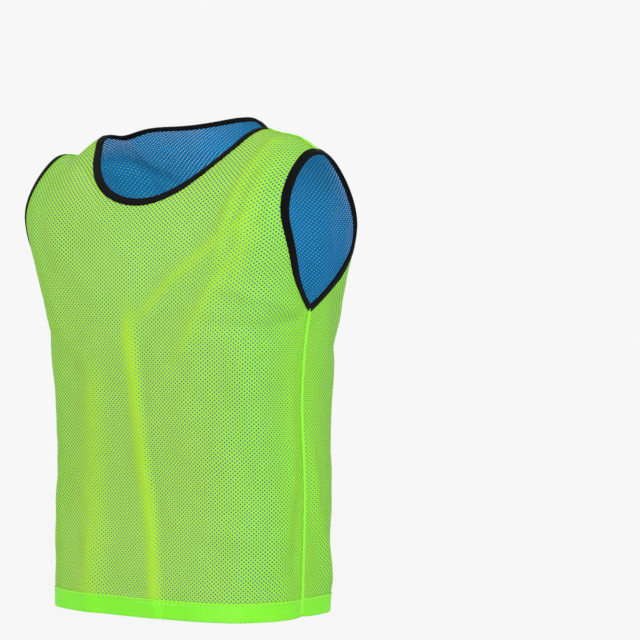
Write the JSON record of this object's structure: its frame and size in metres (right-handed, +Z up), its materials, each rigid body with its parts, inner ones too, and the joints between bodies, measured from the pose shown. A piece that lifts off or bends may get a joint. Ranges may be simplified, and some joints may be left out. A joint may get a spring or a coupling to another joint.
{
  "type": "mesh training bib",
  "caption": "Sleeveless reversible sports bib of two mesh layers, open at neck, armholes and hem, held out in its worn form.",
  "frame": {"origin": "midway between the two neck points, at the height of the shoulder ridge there, where the wearer's shoulders hold the bib up", "axes": "+Z up, the wearer faces -Y, +X to the wearer's left"},
  "size_m": [0.4433, 0.2874, 0.6607],
  "materials": {
    "green_mesh": "knitted polyester mesh, slight sheen",
    "blue_mesh": "knitted polyester mesh, slight sheen",
    "green_hem": "turned and stitched mesh, slight sheen",
    "black_tape": "matt folded binding tape"
  },
  "bodies": {
    "root": {"front_panel": "green_mesh", "back_panel": "green_mesh", "front_lining": "blue_mesh", "back_lining": "blue_mesh", "front_hem": "green_hem", "back_hem": "green_hem", "neck_binding": "black_tape", "left_armhole_binding": "black_tape", "right_armhole_binding": "black_tape"}
  },
  "joints": []
}
